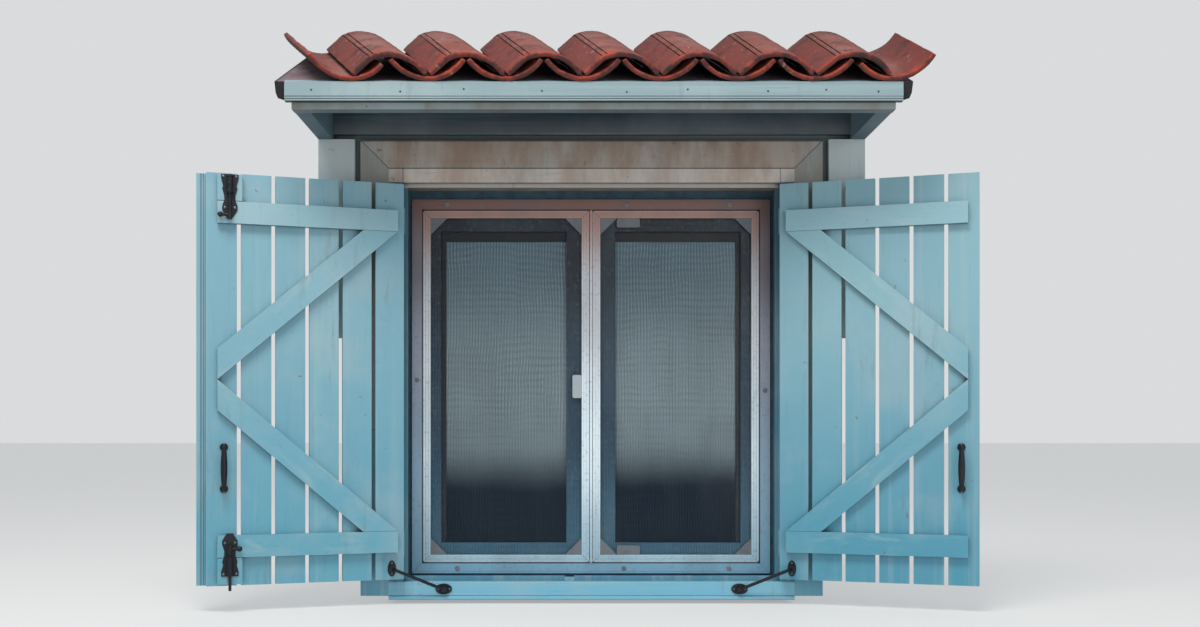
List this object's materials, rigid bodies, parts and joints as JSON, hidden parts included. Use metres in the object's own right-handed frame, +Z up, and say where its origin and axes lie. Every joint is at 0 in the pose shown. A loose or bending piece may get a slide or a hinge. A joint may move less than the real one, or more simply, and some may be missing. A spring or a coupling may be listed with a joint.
{
  "type": "window shutters",
  "caption": "Pair of boarded, braced window shutters in a timber frame under a tiled canopy, with surface bolts, handles and stays, over a double casement with insect screens.",
  "frame": {"origin": "middle of the four wall fixings of the casing, on the wall's face", "axes": "+X to the right seen from outside, +Y into the wall, +Z up"},
  "size_m": [2.3633, 0.6437, 1.7992],
  "materials": {
    "painted_timber": "worn turquoise paint on softwood boards",
    "deck_timber": "weathered covering on a boarded deck",
    "terracotta": "unglazed clay, sooty and weathered",
    "blackened_iron": "hammered black paint, slightly worn",
    "painted_hinge": "painted over with the timber's paint",
    "white_aluminium": "powder-coated aluminium, dull",
    "grey_aluminium": "powder-coated aluminium, dark",
    "grey_plastic": "moulded plastic",
    "packing_foam": "compressed foam strip",
    "insect_mesh": "fine coated mesh, see-through",
    "glazing": "clear double glazing",
    "black_rubber": "bituminous strip, dull"
  },
  "bodies": {
    "frame": {"canopy_arm_left": "painted_timber", "canopy_arm_right": "painted_timber", "canopy_back_board": "painted_timber", "canopy_beam": "painted_timber", "canopy_deck": "deck_timber", "canopy_fascia": "painted_timber", "casing_head": "painted_timber", "casing_left": "painted_timber", "casing_right": "painted_timber", "channel_tiles": "terracotta", "closing_stops": "painted_timber", "cover_tiles": "terracotta", "left_frame_hinges": "painted_hinge", "left_stay_rosette": "blackened_iron", "lining_head": "painted_timber", "lining_left": "painted_timber", "lining_right": "painted_timber", "lining_sill": "painted_timber", "mesh_left": "insect_mesh", "mesh_right": "insect_mesh", "post_left": "painted_timber", "post_right": "painted_timber", "right_frame_hinges": "painted_hinge", "right_stay_rosette": "blackened_iron", "sash_frame_hinges": "white_aluminium", "screen_fittings": "grey_plastic", "screen_left": "white_aluminium", "screen_right": "white_aluminium", "sill_lip": "painted_timber", "verge_strips": "black_rubber", "window_frame": "white_aluminium", "window_mullion": "white_aluminium", "window_packing": "packing_foam"},
    "left_leaf": {"left_planks": "painted_timber", "left_top_ledge": "painted_timber", "left_bottom_ledge": "painted_timber", "left_braces": "painted_timber", "astragal": "painted_timber", "bolt_pads": "painted_timber", "left_handle": "blackened_iron", "left_leaf_hinges": "painted_hinge", "left_stay_eye": "blackened_iron", "top_bolt_plate": "blackened_iron", "bottom_bolt_plate": "blackened_iron"},
    "right_leaf": {"right_planks": "painted_timber", "right_top_ledge": "painted_timber", "right_bottom_ledge": "painted_timber", "right_braces": "painted_timber", "right_handle": "blackened_iron", "right_leaf_hinges": "painted_hinge", "right_stay_eye": "blackened_iron"},
    "top_bolt": {"top_bolt_rod": "blackened_iron"},
    "bottom_bolt": {"bottom_bolt_rod": "blackened_iron"},
    "left_stay": {"left_stay_arm": "blackened_iron"},
    "right_stay": {"right_stay_arm": "blackened_iron"},
    "left_sash": {"sash_left": "grey_aluminium", "glass_left": "glazing"},
    "right_sash": {"sash_right": "grey_aluminium", "glass_right": "glazing", "sash_handle": "grey_plastic"}
  },
  "joints": [
    {"name": "left_leaf_swing", "type": "hinge", "parent": "frame", "child": "left_leaf", "pos_m": [-0.5985, -0.027, 0], "axis": [0, 0, 1], "range_deg": [0, 163]},
    {"name": "right_leaf_swing", "type": "hinge", "parent": "frame", "child": "right_leaf", "pos_m": [0.5985, -0.027, 0], "axis": [0, 0, -1], "range_deg": [0, 163]},
    {"name": "top_bolt_slide", "type": "slide", "parent": "left_leaf", "child": "top_bolt", "axis": [0, 0, 1], "range_m": [0, 0.05]},
    {"name": "bottom_bolt_slide", "type": "slide", "parent": "left_leaf", "child": "bottom_bolt", "axis": [0, 0, 1], "range_m": [-0.0095, 0.04]},
    {"name": "left_stay_swing", "type": "hinge", "parent": "frame", "child": "left_stay", "pos_m": [-0.47, -0.034, -0.6575], "axis": [0.338, -0.9412, 0], "range_deg": [0, 113.6]},
    {"name": "right_stay_swing", "type": "hinge", "parent": "frame", "child": "right_stay", "pos_m": [0.47, -0.034, -0.6575], "axis": [0.338, 0.9412, 0], "range_deg": [0, 113.6]},
    {"name": "left_sash_swing", "type": "hinge", "parent": "frame", "child": "left_sash", "pos_m": [-0.554, 0.175, 0], "axis": [0, 0, 1], "range_deg": [0, 90]},
    {"name": "right_sash_swing", "type": "hinge", "parent": "frame", "child": "right_sash", "pos_m": [0.554, 0.175, 0], "axis": [0, 0, -1], "range_deg": [0, 90]}
  ],
  "couplings": [
    {"joint": "left_stay_swing", "follows": "left_leaf_swing", "ratio": 0.6969},
    {"joint": "right_stay_swing", "follows": "right_leaf_swing", "ratio": 0.6969}
  ]
}
